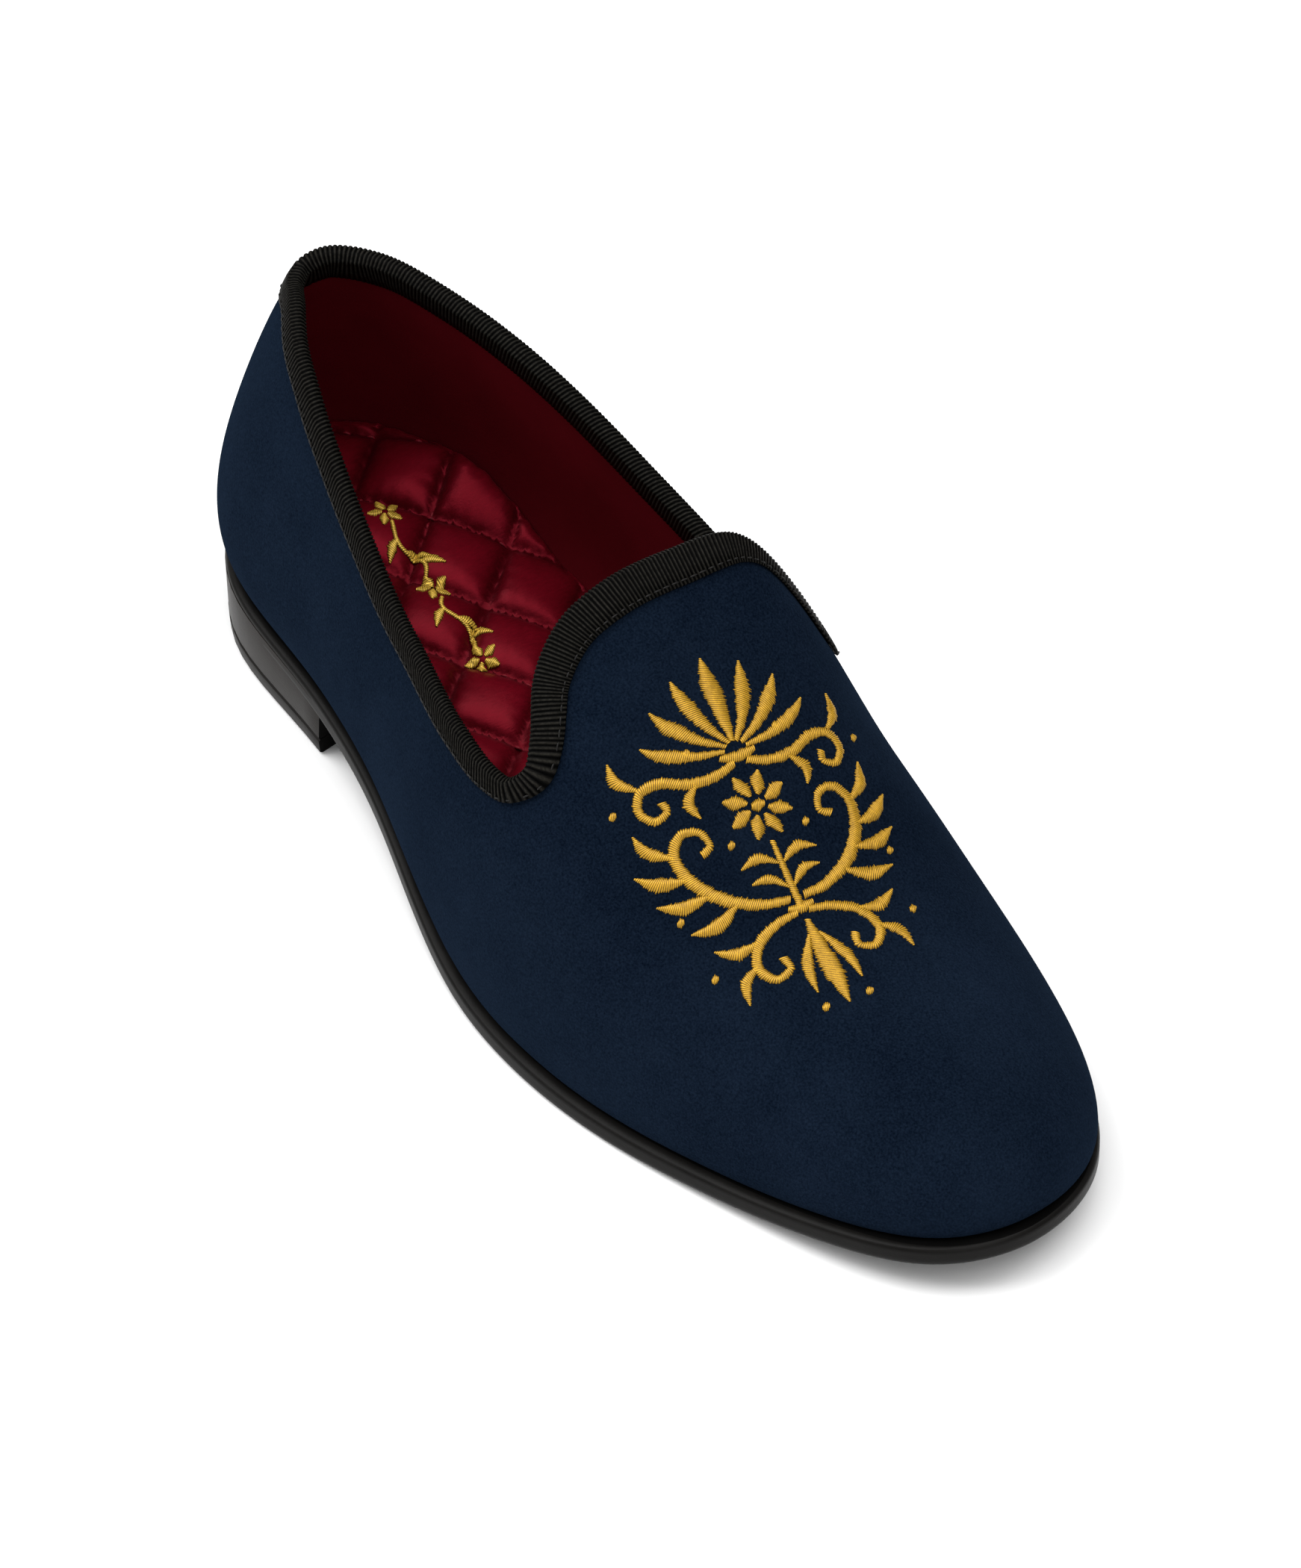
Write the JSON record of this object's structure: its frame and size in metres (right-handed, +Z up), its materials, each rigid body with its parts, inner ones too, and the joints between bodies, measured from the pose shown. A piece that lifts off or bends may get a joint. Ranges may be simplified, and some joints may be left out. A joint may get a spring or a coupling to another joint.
{
  "type": "velvet slipper loafer",
  "caption": "Right dress slipper with a raised tongue tab, ribbon-bound topline, quilted padded insole, thin leather outsole and a low stacked heel, open at the collar",
  "frame": {"origin": "centre of the bounding box on the floor plane", "axes": "+X from heel to toe, +Y toward the wearer's left (the medial side), +Z up; heel and ball of the sole stand on z = 0"},
  "size_m": [0.299, 0.109, 0.102],
  "materials": {
    "velvet": "short matt pile with a soft sheen at grazing angles",
    "ribbon": "ribbed grosgrain, low sheen",
    "quilted_satin": "soft sheen, quilted in diamonds",
    "sole_leather": "waxed edge, satin",
    "heel_stack": "waxed and burnished, satin",
    "heel_rubber": "satin"
  },
  "bodies": {
    "root": {"upper": "velvet", "binding": "ribbon", "insole": "quilted_satin", "outsole": "sole_leather", "heel": "heel_stack", "top_piece": "heel_rubber"}
  },
  "joints": []
}
